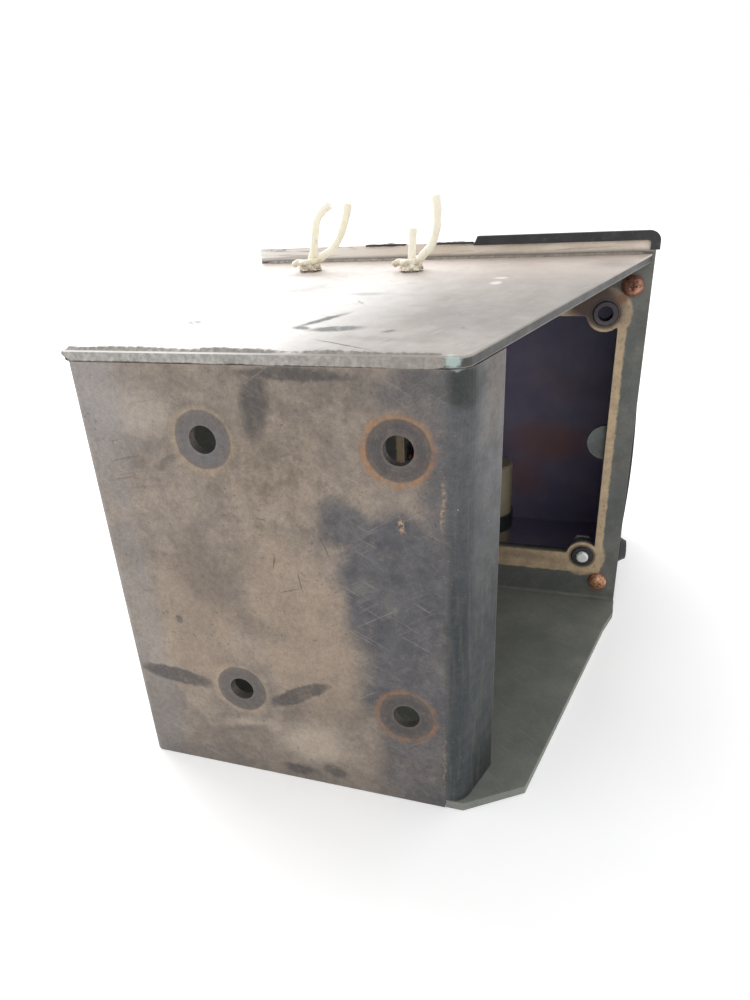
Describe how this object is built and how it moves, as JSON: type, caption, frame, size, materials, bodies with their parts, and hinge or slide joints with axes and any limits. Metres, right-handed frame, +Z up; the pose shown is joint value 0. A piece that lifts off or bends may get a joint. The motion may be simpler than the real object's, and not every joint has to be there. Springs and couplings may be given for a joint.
{
  "type": "garage door opener",
  "caption": "Side-mounted garage door opener: a worn welded steel housing, open on its right, with a geared chain drive under a black rear cover.",
  "frame": {"origin": "centre of the bounding box at the level it stands on", "axes": "+X to the right across the front, +Y from the front to the rear cover, +Z up"},
  "size_m": [0.2548, 0.301, 0.2425],
  "materials": {
    "worn_steel": "worn, stained bare steel",
    "black_rubber": "matt",
    "white_nylon": "satin",
    "copper_plate": "dull copper plating",
    "zinc_plate": "dull zinc",
    "black_plastic": "fine matt grain",
    "grey_plastic": "matt",
    "cream_plastic": "satin",
    "red_plastic": "satin",
    "green_plastic": "satin",
    "blue_plastic": "satin",
    "yellow_plastic": "satin",
    "board_green": "lacquered board",
    "painted_casting": "satin black",
    "black_paint": "satin black",
    "bronze": "machined",
    "bright_steel": "ground",
    "oiled_steel": "dark oiled"
  },
  "bodies": {
    "housing": {"bush_low_left": "black_rubber", "bush_low_right": "black_rubber", "bush_top_left": "black_rubber", "bush_top_right": "black_rubber", "cable_gland": "black_plastic", "capacitor_strap": "zinc_plate", "close_limit_switch": "black_plastic", "close_relay": "blue_plastic", "control_board": "board_green", "cover_screw_low_left": "copper_plate", "cover_screw_low_right": "copper_plate", "cover_screw_top_left": "copper_plate", "cover_screw_top_right": "copper_plate", "drive_base": "zinc_plate", "drive_bolt_low_left": "zinc_plate", "drive_bolt_low_right": "zinc_plate", "drive_bolt_top_left": "zinc_plate", "front_panel": "worn_steel", "gearbox_case": "painted_casting", "gearbox_lid": "painted_casting", "gland_locknut": "black_plastic", "lid_screw_front_low": "zinc_plate", "lid_screw_front_top": "zinc_plate", "lid_screw_rear_low": "zinc_plate", "lid_screw_rear_top": "zinc_plate", "limit_bracket": "zinc_plate", "motor_can": "black_paint", "motor_capacitor": "cream_plastic", "motor_flange": "painted_casting", "open_limit_switch": "black_plastic", "open_relay": "blue_plastic", "rear_base_panel": "worn_steel", "rear_cover": "black_plastic", "rear_edge_trim": "black_rubber", "shaft_bearing_left": "bronze", "shaft_bearing_right": "bronze", "stator_core": "oiled_steel", "terminal_block": "grey_plastic", "top_panel": "worn_steel", "transformer": "oiled_steel", "wire_tie_left": "white_nylon", "wire_tie_right": "white_nylon"},
    "output": {"output_shaft": "bright_steel", "shaft_snap_ring": "bright_steel", "drive_sprocket": "oiled_steel", "limit_pinion": "white_nylon"},
    "wheel": {"worm_wheel": "bronze"},
    "clutch": {"clutch_dog": "bright_steel"},
    "rotor": {"worm_shaft": "bright_steel", "rotor_core": "oiled_steel", "motor_fan": "grey_plastic"},
    "cams": {"cam_spindle": "bright_steel", "cam_gear": "white_nylon", "open_limit_cam": "red_plastic", "close_limit_cam": "green_plastic"},
    "release": {"release_spindle": "bright_steel", "release_lever": "red_plastic"},
    "button": {"learn_button": "yellow_plastic"},
    "open_switch_blade": {"open_switch_lever": "bright_steel"},
    "close_switch_blade": {"close_switch_lever": "bright_steel"}
  },
  "joints": [
    {"name": "motor_spin", "type": "hinge", "parent": "housing", "child": "rotor", "pos_m": [-0.0514, 0.1069, 0.052], "axis": [0, 0, 1], "continuous": true},
    {"name": "output_spin", "type": "hinge", "parent": "housing", "child": "output", "pos_m": [-0.0514, 0.0735, 0.052], "axis": [1, 0, 0], "continuous": true},
    {"name": "wheel_spin", "type": "hinge", "parent": "housing", "child": "wheel", "pos_m": [-0.0514, 0.0735, 0.052], "axis": [1, 0, 0], "continuous": true},
    {"name": "cam_spin", "type": "hinge", "parent": "housing", "child": "cams", "pos_m": [-0.0229, 0.0735, 0.0747], "axis": [1, 0, 0], "continuous": true},
    {"name": "release_turn", "type": "hinge", "parent": "housing", "child": "release", "pos_m": [-0.0674, 0.1423, 0.076], "axis": [0, 1, 0], "range_deg": [0, 25]},
    {"name": "clutch_slide", "type": "slide", "parent": "output", "child": "clutch", "axis": [-1, 0, 0], "range_m": [0, 0.0046]},
    {"name": "learn_press", "type": "slide", "parent": "housing", "child": "button", "axis": [0, -1, 0], "range_m": [0, 0.0015], "stiffness_N_per_m": 300},
    {"name": "open_switch_press", "type": "hinge", "parent": "housing", "child": "open_switch_blade", "pos_m": [-0.01415, 0.0805, 0.0922], "axis": [-1, 0, 0], "range_deg": [0, 2], "stiffness_Nm_per_rad": 0.02},
    {"name": "close_switch_press", "type": "hinge", "parent": "housing", "child": "close_switch_blade", "pos_m": [-0.00715, 0.0805, 0.0922], "axis": [-1, 0, 0], "range_deg": [0, 2], "stiffness_Nm_per_rad": 0.02}
  ],
  "couplings": [
    {"joint": "output_spin", "follows": "motor_spin", "ratio": -0.025},
    {"joint": "wheel_spin", "follows": "motor_spin", "ratio": -0.025},
    {"joint": "cam_spin", "follows": "motor_spin", "ratio": 0.0125},
    {"joint": "release_turn", "follows": "clutch_slide", "rad_per_m": 94.8}
  ]
}
